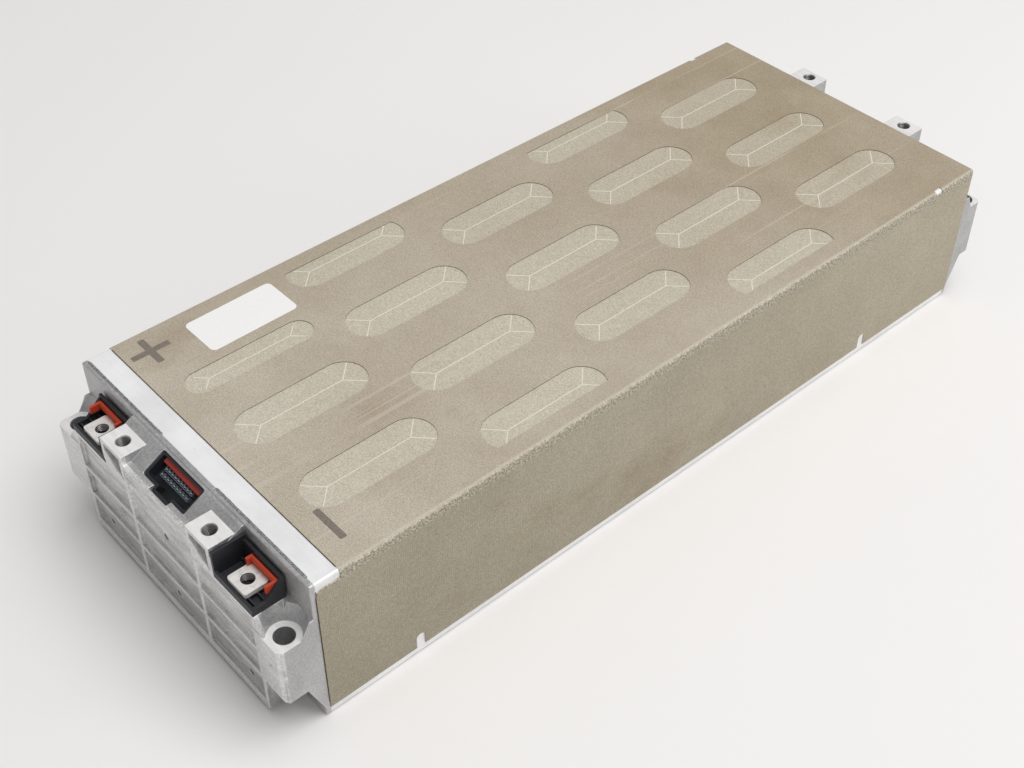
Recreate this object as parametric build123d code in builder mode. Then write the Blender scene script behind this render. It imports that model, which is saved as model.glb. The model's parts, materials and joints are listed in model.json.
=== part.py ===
"""Electric vehicle battery module: a welded aluminium box of pouch cells.

Frame: +X across the module, +Y towards the rear end plate, +Z up, origin at the
middle of the footprint on the floor. All sizes are in millimetres.
"""
import os
from math import atan2, cos, degrees, radians, sin

from build123d import *

os.makedirs("parts", exist_ok=True)

# ---------------------------------------------------------------- overall size
body_width = 225.0  # over the insulation cover
body_height = 108.0  # floor to the top of the cover
shell_length = 546.0  # outer face of one end flange to the other
front_reach = 23.0  # ears and posts beyond the front flange
rear_reach = 21.0  # posts beyond the rear flange
rear_ear_reach = 19.0
fit_gap = 0.4  # clearance of loose fits

# ---------------------------------------------------------------- metal shell
cover_sheet = 0.6
side_wall = 2.2
floor_plate = 3.0
lid_sheet = 2.0
bottom_radius = 3.0
lid_edge_radius = 2.0
flange_thickness = 3.2
flange_roll = 0.8  # radius of the outer top edge
plug_depth = 6.0  # how far an end plate reaches into the shell

# ---------------------------------------------------------------- vent openings
vent_width = 30.0
vent_edge = 19.8  # middle of the outermost vents inside the side of the cover
vent_front_margin = 75.7  # middle of the first row behind the front flange face
vent_rear_margin = 73.0
vent_row_gap = 13.3
vent_rows = 5
vent_middle_count = 3
vent_outer_reach = 7.5  # outer vents are cut off this far from their middle line
narrow_vent_width = 19.4
narrow_vent_shift = 10.6
vent_drop = 0.45
vent_wall = 0.7
vent_gap = 0.4

# ---------------------------------------------------------------- cover details
cover_front_setback = 18.5  # top panel behind the flange face
cover_rear_setback = 1.5
flap_setback = 3.0  # side flaps behind the flange face
flap_bottom = 6.8
flap_relief_depth = 5.6  # flap top below the cover top in front of the fold
flap_corner_radius = 5.0
fold_extra_radius = 0.6
flap_notch_width = 6.0
flap_notch_height = 10.5
flap_notch_front = 65.3  # first notch behind the front flange face
flap_notch_rear = 96.7  # second notch before the rear flange face
fold_window_size = 6.4
fold_window_rear = 38.0  # middle of the window before the rear flange face

# ---------------------------------------------------------------- end plates
block_side_step = 22.1  # side of the ribbed block inside the cover
block_front = 22.0
block_bottom = 5.0
rear_block_step = 5.0  # rear block face inside the tip of the rear ears
grid_wall = 2.2
grid_depth = 2.0
grid_draft = 1.2
row_foot = 10.0  # top edge of the lowest level rib
row_headroom = 27.0  # from the highest level rib to the floor of the recesses
core_wall = 5.0
slope_set = 1.5  # the slope ends this far before the flange
slope_drop = 1.0
shelf_drop = 10.0  # shelf below the top of the cover
shelf_depth = 5.5
recess_drop = 15.0  # floor of the terminal recess below the shelf
recess_back = 1.0
pin_mark_radius = 2.3
pin_mark_depth = 2.0
pin_mark_low = 8.0  # above the lowest rib
pin_mark_high = 10.0  # above the highest rib

ear_drop = 10.0  # bolt seat below the recess floor
ear_height = 42.0
ear_overlap = 3.0  # the ear starts this far inside the side of the block
ear_taper = 10.0
ear_corner = 2.4
ear_bottom_radius = 3.0
ear_slope_run = 7.6
ear_back_depth = 9.0
ear_back_top = 3.6
ear_hole_radius = 6.0
ear_hole_edge = 9.5  # middle of the hole inside the cover's side
ear_hole_out = 13.0
rear_ear_hole_out = 12.0
ear_web_depth = 9.0
ear_web_foot = 8.0
ear_tool_radius = 9.5

post_spacing = 30.0  # from a post to its terminal
post_width = 22.0
post_out = 22.4
post_rise = 6.0  # top of the post above the shelf
rear_post_drop = 1.5
post_head = 16.0
post_hole_out = 14.0
rear_post_hole_out = 14.5
post_bolt_radius = 4.0
post_hole_depth = 14.0
post_countersink = 0.6
post_rim = 2.6
post_window_depth = 3.4
post_window_tall = 17.0
post_window_short = 5.0
column_inset = 9.5  # upright rib inside the middle of the post

# ---------------------------------------------------------------- terminals
terminal_edge = 39.5  # middle of the terminal inside the cover's side
terminal_wall = 1.8
terminal_rim_rise = 5.0  # low rim above the recess floor
terminal_back_rise = 16.0
terminal_side_rise = 19.0
terminal_side_run = 12.0
terminal_base = 1.6
terminal_pad_width = 16.8
terminal_pad_depth = 15.2
terminal_pad_rise = 7.4  # contact face above the recess floor
terminal_pad_thickness = 3.0
terminal_hole_out = 12.4
terminal_bolt_radius = 4.0
terminal_corner = 1.5
terminal_boss_radius = 6.5
guard_wall = 1.6
guard_height = 5.0
guard_overhang = 6.8  # beyond the outer side of the pad
guard_inner_arm = 4.4
guard_outer_arm = 8.0
guard_ridge = 0.5
terminal_rib = 1.0
rib_inset = 2.0
spout_wall = 1.1
tongue_width = 14.0
window_margin = 2.0

# ---------------------------------------------------------------- signal connector
signal_width = 40.4
signal_depth = 16.6
signal_height = 11.0
signal_wall = 1.5
signal_floor = 3.0
signal_key_width = 16.6
signal_key_depth = 3.2
signal_radius = 1.6
signal_gap = 0.3
signal_flange_set = 1.0
signal_clearance = 5.0
contact_rows = 2
contact_columns = 9
contact_pitch = 3.0
contact_row_pitch = 3.6
contact_width = 1.5
contact_thickness = 0.6
contact_length = 5.0
lock_set = 1.6
lock_depth = 3.2

# ---------------------------------------------------------------- cell stack
cell_count = 24
cells_per_group = 3
pad_thickness = 5.0
pad_inset = 2.0  # below and above the edges of the cells
gap_filler_thickness = 1.5
stack_headroom = 3.0
cell_gap = 0.05
cell_end_seal = 6.0
cell_seal_thickness = 0.8
cell_seal_inset = 4.0
cell_corner = 1.5
tab_margin = 28.0  # tab below and above the edges of the cell
tab_thickness = 0.5
tab_fold = 5.0
busbar_thickness = 2.0
busbar_overlap = 2.0
busbar_margin = 1.2
frame_wall = 2.0
frame_depth = 8.0
insulator_sheet = 0.8
end_gap = 1.0
flex_sheet = 0.3
flex_width = 46.0
flex_neck = 18.0
flex_side_margin = 9.7
flex_slot_drop = 8.7  # below the shelf
flex_slot_margin = 3.0
flex_end_out = 8.5
sense_lug_width = 6.0

# ---------------------------------------------------------------- derived places
total_length = front_reach + shell_length + rear_reach
front_y = -total_length / 2 + front_reach
rear_y = front_y + shell_length
shell_width = body_width - 2 * cover_sheet
shell_top = body_height - cover_sheet
inner_width = shell_width - 2 * side_wall
lid_under = shell_top - lid_sheet
lid_radius = lid_edge_radius - fit_gap / 2
shell_front = front_y + flange_thickness
shell_rear = rear_y - flange_thickness
shell_inside_front = shell_front + plug_depth
shell_inside_rear = shell_rear - plug_depth

vent_pitch_x = (body_width - 2 * vent_edge) / vent_middle_count
vent_pitch_y = (shell_length - vent_front_margin - vent_rear_margin) / (vent_rows - 1)
vent_length = vent_pitch_y - vent_row_gap

shelf_height = body_height - shelf_drop
recess_floor = shelf_height - recess_drop
block_half_width = body_width / 2 - block_side_step
terminal_x = body_width / 2 - terminal_edge
post_x = terminal_x - post_spacing
post_top = shelf_height + post_rise
rear_post_top = post_top - rear_post_drop
column_line = post_x - column_inset
recess_inner_wall = post_x + post_width / 2 + fit_gap
row_pitch = (recess_floor - row_foot - row_headroom) / 2
row_lines = (row_foot, row_foot + row_pitch, row_foot + 2 * row_pitch)
core_top = recess_floor - core_wall
ear_top = recess_floor - ear_drop
ear_bottom = ear_top - ear_height
ear_hole_x = body_width / 2 - ear_hole_edge
rear_block = rear_ear_reach - rear_block_step
terminal_pad_top = recess_floor + terminal_pad_rise
window_half = terminal_pad_width / 2 + window_margin
window_top = terminal_pad_top + window_margin
flex_slot_height = shelf_height - flex_slot_drop
flex_cross_width = inner_width - 2 * flex_side_margin

busbar_line = shell_inside_front + end_gap + insulator_sheet + end_gap
frame_front = busbar_line + busbar_thickness
cell_front = frame_front + frame_depth
mirror_y = (shell_inside_front + shell_inside_rear) / 2
cell_rear = 2 * mirror_y - cell_front
cell_bottom = floor_plate + gap_filler_thickness
cell_top = lid_under - stack_headroom
cell_middle_z = (cell_bottom + cell_top) / 2
cell_thickness = (inner_width - 3 * pad_thickness) / cell_count
tab_height = cell_top - cell_bottom - 2 * tab_margin
busbar_height = tab_height + 2 * busbar_overlap


def block(x0, x1, y0, y1, z0, z1, mode=Mode.ADD):
    """A box between two corners, added to the part being built."""
    with Locations(((x0 + x1) / 2, (y0 + y1) / 2, (z0 + z1) / 2)):
        Box(abs(x1 - x0), abs(y1 - y0), abs(z1 - z0), mode=mode)


def side_profile(points, x0, x1, mode=Mode.ADD):
    """An outline of (y, z) points, extruded from x0 to x1."""
    with BuildSketch(Plane.YZ.offset(x0)) as profile:
        with BuildLine():
            Polyline(*points, close=True)
        make_face()
    extrude(profile.sketch, amount=x1 - x0, mode=mode)


def save(part, name):
    """Label a finished piece and write it."""
    part.part.label = name
    export_step(part.part, f"parts/{name}.step")


def front_profile(points, y, depth, mode=Mode.ADD):
    """An outline of (x, z) points at y, extruded by depth along Y."""
    with BuildSketch(Plane.XZ.offset(-y)) as profile:
        with BuildLine():
            Polyline(*points, close=True)
        make_face()
    extrude(profile.sketch, amount=-depth, mode=mode)


# ---------------------------------------------------------------- end plate features
def flange_and_plug(plate, face_y, inward):
    """The flange over the whole section and the step that enters the shell."""
    inner = face_y + inward * flange_thickness
    with BuildSketch(Plane.XZ.offset(-face_y)) as section:
        with Locations((0, shell_top / 2)):
            outline = Rectangle(shell_width, shell_top)
        fillet(outline.vertices().group_by(Axis.Y)[-1], lid_radius)
        fillet(section.vertices().group_by(Axis.Y)[0], bottom_radius)
    extrude(section.sketch, amount=-inward * flange_thickness)
    # rolled top edge, below the start of the slope
    rim = plate.edges().filter_by(Axis.X).group_by(Axis.Z)[-1]
    fillet(rim.sort_by(Axis.Y)[0 if inward > 0 else -1], flange_roll)
    block(
        -inner_width / 2 + fit_gap,
        inner_width / 2 - fit_gap,
        inner,
        inner + inward * plug_depth,
        floor_plate + fit_gap,
        lid_under - fit_gap,
    )


def ear(face_y, outward, reach, shoulder, side):
    """A bolt ear with the web below it and the solid that its tool clearance is cut from."""
    edge = side * shell_width / 2
    tip = face_y + outward * reach
    root = face_y - outward * flange_thickness / 2
    block_side = side * block_half_width
    inner = block_side - side * ear_overlap
    with BuildSketch(Plane.XY.offset(ear_bottom)) as plan:
        with BuildLine():
            Polyline(
                (inner, root),
                (inner, face_y + outward * shoulder),
                (inner + side * ear_taper, tip),
                (edge - side * ear_corner, tip),
                (edge, tip - outward * ear_corner),
                (edge, root),
                close=True,
            )
        make_face()
    extrude(plan.sketch, amount=ear_top - ear_bottom)
    # round the lower front edge
    inset = ear_bottom_radius * (1 - cos(radians(45)))
    with BuildSketch(Plane.YZ.offset(block_side)) as corner:
        with BuildLine():
            Polyline(
                (tip - outward * ear_bottom_radius, ear_bottom),
                (tip, ear_bottom),
                (tip, ear_bottom + ear_bottom_radius),
            )
            ThreePointArc(
                (tip, ear_bottom + ear_bottom_radius),
                (tip - outward * inset, ear_bottom + inset),
                (tip - outward * ear_bottom_radius, ear_bottom),
            )
        make_face()
    extrude(corner.sketch, amount=edge - block_side, mode=Mode.SUBTRACT)
    web = face_y + outward * ear_web_depth
    side_profile(
        [(root, ear_bottom), (web, ear_bottom), (face_y, ear_web_foot), (root, ear_web_foot)],
        edge,
        inner,
    )
    # slope from the side of the block down to the seat
    slope_end = block_side + side * ear_slope_run
    front_profile(
        [(inner, ear_top), (slope_end, ear_top), (block_side, recess_floor), (inner, recess_floor)],
        face_y,
        outward * shoulder,
    )
    # solid behind the seat, up to the recess floor
    back = face_y + outward * ear_back_depth
    back_top = face_y + outward * ear_back_top
    side_profile(
        [(root, ear_top), (back, ear_top), (back_top, recess_floor), (root, recess_floor)],
        edge,
        inner,
    )


def ear_cuts(face_y, outward, hole_out, side):
    """The bolt hole and the flared clearance for the tool above it."""
    with Locations((side * ear_hole_x, face_y + outward * hole_out, ear_bottom)):
        Cylinder(
            ear_hole_radius,
            ear_top - ear_bottom,
            align=(Align.CENTER, Align.CENTER, Align.MIN),
            mode=Mode.SUBTRACT,
        )
    with Locations((side * ear_hole_x, face_y + outward * hole_out, ear_top)):
        Cone(
            ear_tool_radius,
            hole_out + fit_gap,
            recess_floor - ear_top,
            align=(Align.CENTER, Align.CENTER, Align.MIN),
            mode=Mode.SUBTRACT,
        )


def post(face_y, outward, reach, top, x):
    """A post head that overhangs the block, with a gusset below."""
    tip = face_y + outward * reach
    under = top - post_head
    foot = under - reach
    side_profile(
        [(face_y, top), (tip, top), (tip, under), (face_y, foot)],
        x - post_width / 2,
        x + post_width / 2,
    )


def post_cuts(face_y, outward, reach, top, hole_out, x):
    """The tapped hole from above and the three-cornered pocket in the front of the head."""
    tip = face_y + outward * reach
    with Locations((x, face_y + outward * hole_out, top)):
        Cylinder(
            post_bolt_radius,
            post_hole_depth,
            align=(Align.CENTER, Align.CENTER, Align.MAX),
            mode=Mode.SUBTRACT,
        )
        Cone(
            post_bolt_radius,
            post_bolt_radius + post_countersink,
            post_countersink,
            align=(Align.CENTER, Align.CENTER, Align.MAX),
            mode=Mode.SUBTRACT,
        )
    left = x - post_width / 2 + post_rim
    right = x + post_width / 2 - post_rim
    pocket_top = top - post_rim
    depth = min(post_window_depth, reach - hole_out - post_bolt_radius - post_countersink)
    front_profile(
        [
            (left, pocket_top),
            (right, pocket_top),
            (right, pocket_top - post_window_tall),
            (left, pocket_top - post_window_short),
        ],
        tip,
        -outward * depth,
        mode=Mode.SUBTRACT,
    )


def grid_cell(x0, x1, z0, z1, face_y, inward):
    """One shallow cell with drafted walls in the face of the block."""
    with BuildSketch(Plane.XZ.offset(-face_y)) as mouth:
        with Locations(((x0 + x1) / 2, (z0 + z1) / 2)):
            Rectangle(x1 - x0, z1 - z0)
    with BuildSketch(Plane.XZ.offset(-face_y - inward * grid_depth)) as bed:
        with Locations(((x0 + x1) / 2, (z0 + z1) / 2)):
            Rectangle(x1 - x0 - 2 * grid_draft, z1 - z0 - 2 * grid_draft)
    loft([mouth.sketch.face(), bed.sketch.face()], mode=Mode.SUBTRACT)


def face_grid(face_y, inward, top_middle, top_side):
    """The ribbed face: three columns of cells between drafted ribs."""
    half = grid_wall / 2
    columns = [
        (-block_half_width + grid_wall, -column_line - half, top_side),
        (-column_line + half, column_line - half, top_middle),
        (column_line + half, block_half_width - grid_wall, top_side),
    ]
    for x0, x1, top in columns:
        levels = [*row_lines, top]
        for low, high in zip(levels[:-1], levels[1:]):
            grid_cell(x0, x1, low, high - grid_wall, face_y, inward)


def pin_marks(face_y, inward):
    """Round ejector marks in the beds of the cells."""
    low = row_lines[0] + pin_mark_low
    high = row_lines[-1] + pin_mark_high
    for x, z in ((0, low), (0, high), (-terminal_x, low), (terminal_x, low)):
        with Locations(Location((x, face_y + inward * grid_depth, z), (90, 0, 0))):
            Cylinder(pin_mark_radius, 2 * pin_mark_depth, mode=Mode.SUBTRACT)


def core_hollows(y0, y1):
    """The hollows behind the face, open towards the cells, with a wall at each column line."""
    edges = (-block_half_width, -column_line, column_line, block_half_width)
    for x0, x1 in zip(edges[:-1], edges[1:]):
        block(x0 + core_wall / 2, x1 - core_wall / 2, y0, y1, row_lines[0], core_top, mode=Mode.SUBTRACT)


# ---------------------------------------------------------------- signal connector frame
slope_rise = shell_top - slope_drop - shelf_height
slope_run = block_front - shelf_depth - slope_set
slope_angle = degrees(atan2(slope_rise, slope_run))
signal_plane = Plane(
    origin=(0, front_y - slope_set - slope_run / 2, shelf_height + slope_rise / 2),
    x_dir=(1, 0, 0),
    z_dir=(0, -sin(radians(slope_angle)), cos(radians(slope_angle))),
)


def signal_outline(grow):
    """The keyed outline of the connector, in the slope's own plane."""
    RectangleRounded(signal_width + 2 * grow, signal_depth + 2 * grow, signal_radius)
    with Locations((0, -signal_depth / 2)):
        Rectangle(signal_key_width + 2 * grow, 2 * (signal_key_depth + grow))


# ---------------------------------------------------------------- front end plate
with BuildPart() as front_end_plate:
    flange_and_plug(front_end_plate, front_y, 1)
    face = front_y - block_front
    side_profile(
        [
            (front_y, block_bottom),
            (face, block_bottom),
            (face, shelf_height),
            (face + shelf_depth, shelf_height),
            (front_y - slope_set, shelf_height + slope_rise),
            (front_y, shelf_height + slope_rise),
        ],
        -recess_inner_wall,
        recess_inner_wall,
    )
    block(-block_half_width, block_half_width, face, front_y, block_bottom, recess_floor)
    for side in (-1, 1):
        ear(front_y, -1, front_reach, block_front, side)
        post(front_y, -1, post_out, post_top, side * post_x)
    for side in (-1, 1):
        ear_cuts(front_y, -1, ear_hole_out, side)
        post_cuts(front_y, -1, post_out, post_top, post_hole_out, side * post_x)
        # seat of the terminal shroud and its window through the flange
        block(
            side * recess_inner_wall,
            side * block_half_width,
            face,
            front_y - recess_back,
            recess_floor,
            shell_top,
            mode=Mode.SUBTRACT,
        )
        block(
            side * terminal_x - window_half,
            side * terminal_x + window_half,
            front_y - recess_back,
            shell_inside_front,
            recess_floor,
            window_top,
            mode=Mode.SUBTRACT,
        )
    face_grid(face, 1, shelf_height, recess_floor)
    pin_marks(face, 1)
    core_hollows(face + grid_depth + core_wall, shell_inside_front)
    # pocket for the signal connector, square to the slope
    with BuildSketch(signal_plane.offset(signal_clearance)):
        signal_outline(signal_gap)
    extrude(amount=-signal_height - signal_clearance, mode=Mode.SUBTRACT)
    # slot for the sensing flex from the pocket to the cells
    block(
        -flex_neck / 2 - end_gap,
        flex_neck / 2 + end_gap,
        front_y - block_front / 2 - end_gap,
        shell_inside_front,
        flex_slot_height - flex_slot_margin,
        flex_slot_height + flex_slot_margin,
        mode=Mode.SUBTRACT,
    )
save(front_end_plate, "front_end_plate")

# ---------------------------------------------------------------- rear end plate
with BuildPart() as rear_end_plate:
    flange_and_plug(rear_end_plate, rear_y, -1)
    block(-block_half_width, block_half_width, rear_y, rear_y + rear_block, block_bottom, recess_floor)
    for side in (-1, 1):
        ear(rear_y, 1, rear_ear_reach, rear_block, side)
        post(rear_y, 1, rear_reach, rear_post_top, side * post_x)
    for side in (-1, 1):
        ear_cuts(rear_y, 1, rear_ear_hole_out, side)
        post_cuts(rear_y, 1, rear_reach, rear_post_top, rear_post_hole_out, side * post_x)
    face_grid(rear_y + rear_block, -1, recess_floor, recess_floor)
    core_hollows(shell_inside_rear, rear_y + rear_block - grid_depth - core_wall)
save(rear_end_plate, "rear_end_plate")

# ---------------------------------------------------------------- floor and side walls
with BuildPart() as u_frame:
    with BuildSketch(Plane.XZ.offset(-shell_rear)):
        with Locations((0, lid_under / 2)):
            outline = Rectangle(shell_width, lid_under)
        fillet(outline.vertices().group_by(Axis.Y)[0], bottom_radius)
        with Locations((0, floor_plate + lid_under / 2)):
            Rectangle(inner_width, lid_under, mode=Mode.SUBTRACT)
    extrude(amount=shell_rear - shell_front)
save(u_frame, "u_frame")

# ---------------------------------------------------------------- lid


def vent_places():
    """Middle, width and cut-off side of each vent, row by row from the front."""
    places = []
    for row in range(vent_rows):
        y = front_y + vent_front_margin + row * vent_pitch_y
        count = vent_middle_count + row % 2
        for column in range(count):
            x = (column - (count - 1) / 2) * vent_pitch_x
            cut = 0
            if row % 2 and column in (0, count - 1):
                cut = 1 if x > 0 else -1
            width = vent_width
            if row == 0 and column == 0:
                x += narrow_vent_shift
                width = narrow_vent_width
            places.append((x, y, width, cut))
    return places


def vent_outline(x, y, width, cut, grow):
    """A round-ended vent, cut off straight on the outer side where it meets the wall."""
    with Locations((x, y)):
        SlotOverall(vent_length + 2 * grow, width + 2 * grow, rotation=90)
    if cut:
        outer = vent_outer_reach + grow
        with Locations((x + cut * (outer + width), y)):
            Rectangle(2 * width, vent_length + width, mode=Mode.SUBTRACT)


with BuildPart() as top_plate:
    with BuildSketch(Plane.XZ.offset(-shell_rear)):
        with Locations((0, (shell_top + lid_under) / 2)):
            outline = Rectangle(shell_width, lid_sheet)
        fillet(outline.vertices().group_by(Axis.Y)[-1], lid_radius)
    extrude(amount=shell_rear - shell_front)
    for x, y, width, cut in vent_places():
        with BuildSketch(Plane.XY.offset(shell_top)):
            vent_outline(x, y, width, cut, vent_wall + vent_gap)
        extrude(amount=-lid_sheet, mode=Mode.SUBTRACT)
save(top_plate, "top_plate")

# ---------------------------------------------------------------- insulation cover
cover_front = front_y + cover_front_setback
cover_rear = rear_y - cover_rear_setback
flap_front = front_y + flap_setback
flap_top = body_height - flap_relief_depth
with BuildPart() as insulation_cover:
    # a sheet folded over both long edges
    with BuildSketch(Plane.XZ.offset(-cover_rear)):
        with Locations((0, (body_height + flap_bottom) / 2)):
            outline = Rectangle(body_width, body_height - flap_bottom)
        fillet(outline.vertices().group_by(Axis.Y)[-1], lid_radius + fold_extra_radius)
    extrude(amount=cover_rear - flap_front)
    with BuildSketch(Plane.XZ.offset(-cover_rear)):
        with Locations((0, (shell_top + flap_bottom) / 2)):
            hollow = Rectangle(shell_width, shell_top - flap_bottom)
        fillet(hollow.vertices().group_by(Axis.Y)[-1], lid_radius)
    extrude(amount=cover_rear - flap_front, mode=Mode.SUBTRACT)
    # the top panel starts further back than the flaps, behind a relief at each fold
    block(-body_width, body_width, flap_front, cover_front, flap_top, body_height, mode=Mode.SUBTRACT)
    for side in (-1, 1):
        edge = side * body_width / 2
        # round the free corners of the flap
        corners = insulation_cover.edges().filter_by(Axis.X)
        corners = corners.filter_by_position(Axis.Z, flap_bottom, flap_top)
        corners = corners.filter_by(lambda line: line.center().X * side > 0)
        flap_corners = corners.filter_by(lambda line: line.center().Y < flap_front + fit_gap)
        fillet(flap_corners.edges(), flap_corner_radius)
        for place in (front_y + flap_notch_front, rear_y - flap_notch_rear):
            with BuildSketch(Plane.YZ.offset(edge - side * cover_sheet / 2)):
                with Locations((place, flap_bottom)):
                    SlotOverall(2 * flap_notch_height, flap_notch_width, rotation=90)
            extrude(amount=cover_sheet, both=True, mode=Mode.SUBTRACT)
        block(
            edge,
            edge - side * fold_window_size / 2,
            rear_y - fold_window_rear - fold_window_size / 2,
            rear_y - fold_window_rear + fold_window_size / 2,
            body_height - fold_window_size / 2,
            body_height,
            mode=Mode.SUBTRACT,
        )
    # vent fields pressed down into the openings of the lid
    for x, y, width, cut in vent_places():
        with BuildSketch(Plane.XY.offset(body_height - vent_drop)):
            vent_outline(x, y, width, cut, vent_wall)
        extrude(amount=-cover_sheet)
        with BuildSketch(Plane.XY.offset(body_height)):
            vent_outline(x, y, width, cut, 0)
        extrude(amount=-vent_drop, mode=Mode.SUBTRACT)
save(insulation_cover, "insulation_cover")

# ---------------------------------------------------------------- terminals
pad_under = terminal_pad_top - terminal_pad_thickness
housing_inner = recess_inner_wall + fit_gap / 2
housing_outer = block_half_width - fit_gap / 2
housing_front = front_y - block_front
housing_back = front_y - recess_back - fit_gap / 2
housing_floor = recess_floor + terminal_base
housing_rim = recess_floor + terminal_rim_rise
housing_back_top = recess_floor + terminal_back_rise
housing_side_top = recess_floor + terminal_side_rise
rib_top = housing_rim - terminal_rib
boss_depth = pad_under - housing_floor
pad_front = front_y - terminal_hole_out - terminal_pad_depth / 2
pad_back = front_y - terminal_hole_out + terminal_pad_depth / 2


def terminal_housing(side):
    """The open shroud: floor, walls, nut seat and stiffening ribs."""
    inner = side * housing_inner
    outer = side * housing_outer
    wall = side * terminal_wall
    back_face = housing_back - terminal_wall
    block(inner, outer, housing_front, housing_back, recess_floor, housing_rim)
    block(
        inner + wall,
        outer - wall,
        housing_front + terminal_wall,
        back_face,
        housing_floor,
        housing_rim,
        mode=Mode.SUBTRACT,
    )
    # tall back, tall wall against the post and the outer wall that climbs to the back
    block(inner, outer, back_face, housing_back, recess_floor, housing_back_top)
    block(inner, inner + wall, housing_front, housing_back, recess_floor, housing_side_top)
    side_profile(
        [
            (housing_back - terminal_side_run, housing_rim),
            (housing_back, housing_back_top),
            (housing_back, recess_floor),
            (housing_back - terminal_side_run, recess_floor),
        ],
        outer - wall,
        outer,
    )
    # seat under the terminal pad
    seat = terminal_pad_width / 2
    middle = side * terminal_x
    block(middle - seat, middle + seat, pad_front, pad_back, housing_floor, pad_under)
    # ribs from the seat to the outer wall
    for y in (pad_front + rib_inset, pad_front + terminal_pad_depth / 2, pad_back - rib_inset):
        block(
            middle + side * seat,
            outer - wall,
            y - terminal_rib / 2,
            y + terminal_rib / 2,
            housing_floor,
            rib_top,
        )
    # rib from the seat to the inner wall
    block(
        inner + wall,
        middle - side * seat,
        pad_back - terminal_rib,
        pad_back,
        housing_floor,
        rib_top,
    )
    # spout through the window, around the tongue of the busbar
    spout = window_half - fit_gap / 2
    spout_top = window_top - fit_gap / 2
    block(middle - spout, middle + spout, back_face, shell_inside_front, recess_floor, spout_top)
    block(
        middle - spout + spout_wall,
        middle + spout - spout_wall,
        back_face - terminal_rib,
        shell_inside_front,
        housing_floor,
        spout_top - spout_wall,
        mode=Mode.SUBTRACT,
    )


def touch_guard(side):
    """The thin guard that stands behind the pad and comes forward beside it."""
    middle = side * terminal_x
    back = housing_back - terminal_wall - fit_gap
    inner = middle - side * terminal_pad_width / 2
    outer = middle + side * (terminal_pad_width / 2 + guard_overhang)
    wall = side * guard_wall
    low = terminal_pad_top + fit_gap
    top = low + guard_height
    block(inner, outer, back - guard_wall, back, low, top)
    block(inner, inner + wall, back - guard_inner_arm, back, low, top)
    block(outer - wall, outer, back - guard_outer_arm, back, low, top)
    # level ridges along the inside of the back
    for rise in (guard_height / 3, 2 * guard_height / 3):
        block(
            inner + wall,
            outer - wall,
            back - guard_wall - guard_ridge,
            back - guard_wall,
            low + rise,
            low + rise + guard_ridge,
        )


for side, name in ((-1, "plus"), (1, "minus")):
    with BuildPart() as housing:
        terminal_housing(side)
        with Locations((side * terminal_x, front_y - terminal_hole_out, pad_under)):
            Cylinder(
                terminal_boss_radius + fit_gap / 2,
                pad_under - housing_floor,
                align=(Align.CENTER, Align.CENTER, Align.MAX),
                mode=Mode.SUBTRACT,
            )
    save(housing, f"{name}_terminal_housing")
    with BuildPart() as guard:
        touch_guard(side)
    save(guard, f"{name}_terminal_guard")
    with BuildPart() as terminal_block:
        block(
            side * terminal_x - terminal_pad_width / 2,
            side * terminal_x + terminal_pad_width / 2,
            pad_front,
            pad_back,
            pad_under,
            terminal_pad_top,
        )
        fillet(terminal_block.edges().filter_by(Axis.Z), terminal_corner)
        with Locations((side * terminal_x, front_y - terminal_hole_out, pad_under)):
            Cylinder(
                terminal_boss_radius,
                boss_depth,
                align=(Align.CENTER, Align.CENTER, Align.MAX),
            )
        with Locations((side * terminal_x, front_y - terminal_hole_out, terminal_pad_top)):
            Cylinder(
                terminal_bolt_radius,
                terminal_pad_thickness + boss_depth,
                align=(Align.CENTER, Align.CENTER, Align.MAX),
                mode=Mode.SUBTRACT,
            )
    save(terminal_block, f"{name}_terminal_block")

# ---------------------------------------------------------------- signal connector
with BuildPart() as signal_housing:
    with BuildSketch(signal_plane.offset(-signal_flange_set)):
        signal_outline(0)
    extrude(amount=signal_flange_set - signal_height)
    with BuildSketch(signal_plane.offset(-signal_flange_set)):
        signal_outline(-signal_wall)
    extrude(amount=signal_flange_set + signal_floor - signal_height, mode=Mode.SUBTRACT)
save(signal_housing, "signal_connector_housing")

contact_plane = signal_plane.offset(signal_floor - signal_height)
with BuildPart() as signal_contacts:
    with BuildSketch(contact_plane):
        with GridLocations(contact_pitch, contact_row_pitch, contact_columns, contact_rows):
            Rectangle(contact_width, contact_thickness)
    extrude(amount=contact_length)
save(signal_contacts, "signal_connector_contacts")

with BuildPart() as signal_lock:
    with BuildSketch(contact_plane):
        with Locations((0, signal_depth / 2 - signal_wall - lock_depth / 2)):
            Rectangle(signal_width - 2 * signal_wall - 2 * signal_radius, lock_depth)
    extrude(amount=signal_height - signal_floor - signal_flange_set - lock_set)
save(signal_lock, "signal_connector_lock")

# ---------------------------------------------------------------- cell stack
half_count = cell_count // 2
group_count = cell_count // cells_per_group
body_front = cell_front + cell_end_seal
body_rear = cell_rear - cell_end_seal


def cell_x(index):
    """Middle of a cell across the module; the centre pad splits the stack in two."""
    pads = 1 + (index >= half_count)
    return -inner_width / 2 + pads * pad_thickness + (index + 0.5) * cell_thickness


def at_end(end, distance):
    """A place measured from the front inside face, or mirrored to the rear end."""
    y = shell_inside_front + distance
    return y if end > 0 else 2 * mirror_y - y


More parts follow.
